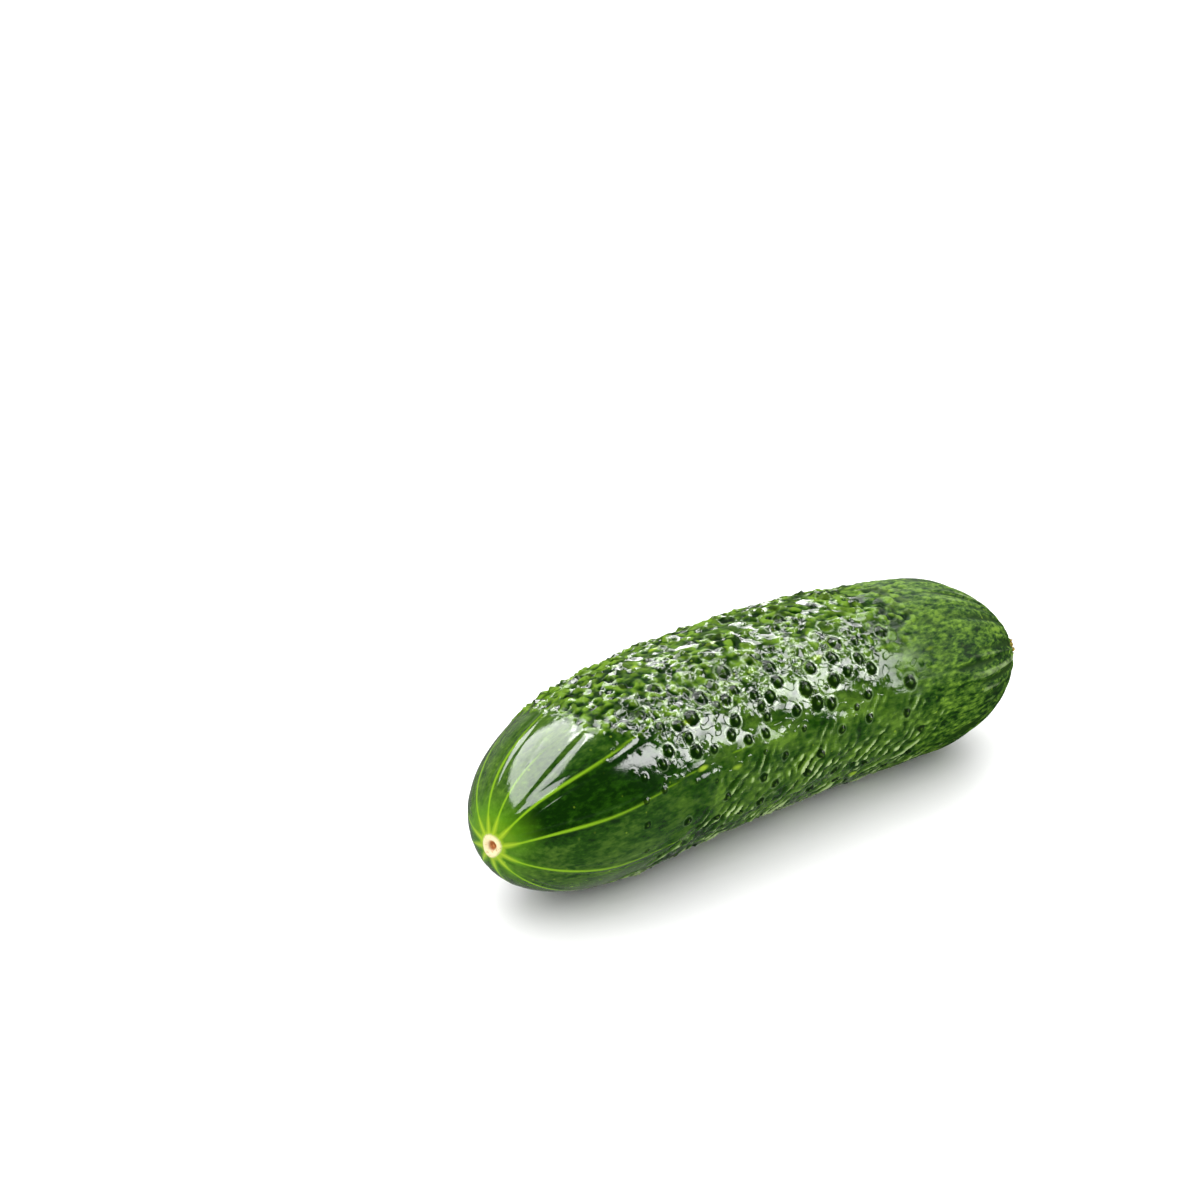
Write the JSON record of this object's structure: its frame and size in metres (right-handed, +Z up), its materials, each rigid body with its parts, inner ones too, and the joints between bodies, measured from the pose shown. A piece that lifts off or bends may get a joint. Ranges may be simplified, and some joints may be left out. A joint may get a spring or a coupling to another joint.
{
  "type": "cucumber",
  "caption": "Short warty cucumber lying on its side, slightly bowed, with a blossom scar at one end and a stalk scar at the other.",
  "frame": {"origin": "on the surface it rests on, under the middle of its bounding box", "axes": "+X along the length from the blossom scar towards the stalk scar, +Y towards the outer side of the bow, +Z up"},
  "size_m": [0.1416, 0.0444, 0.0415],
  "materials": {
    "cucumber_skin": "dark green waxy skin with pale yellow-green stripes and fine warts"
  },
  "bodies": {
    "root": {"cucumber": "cucumber_skin"}
  },
  "joints": []
}
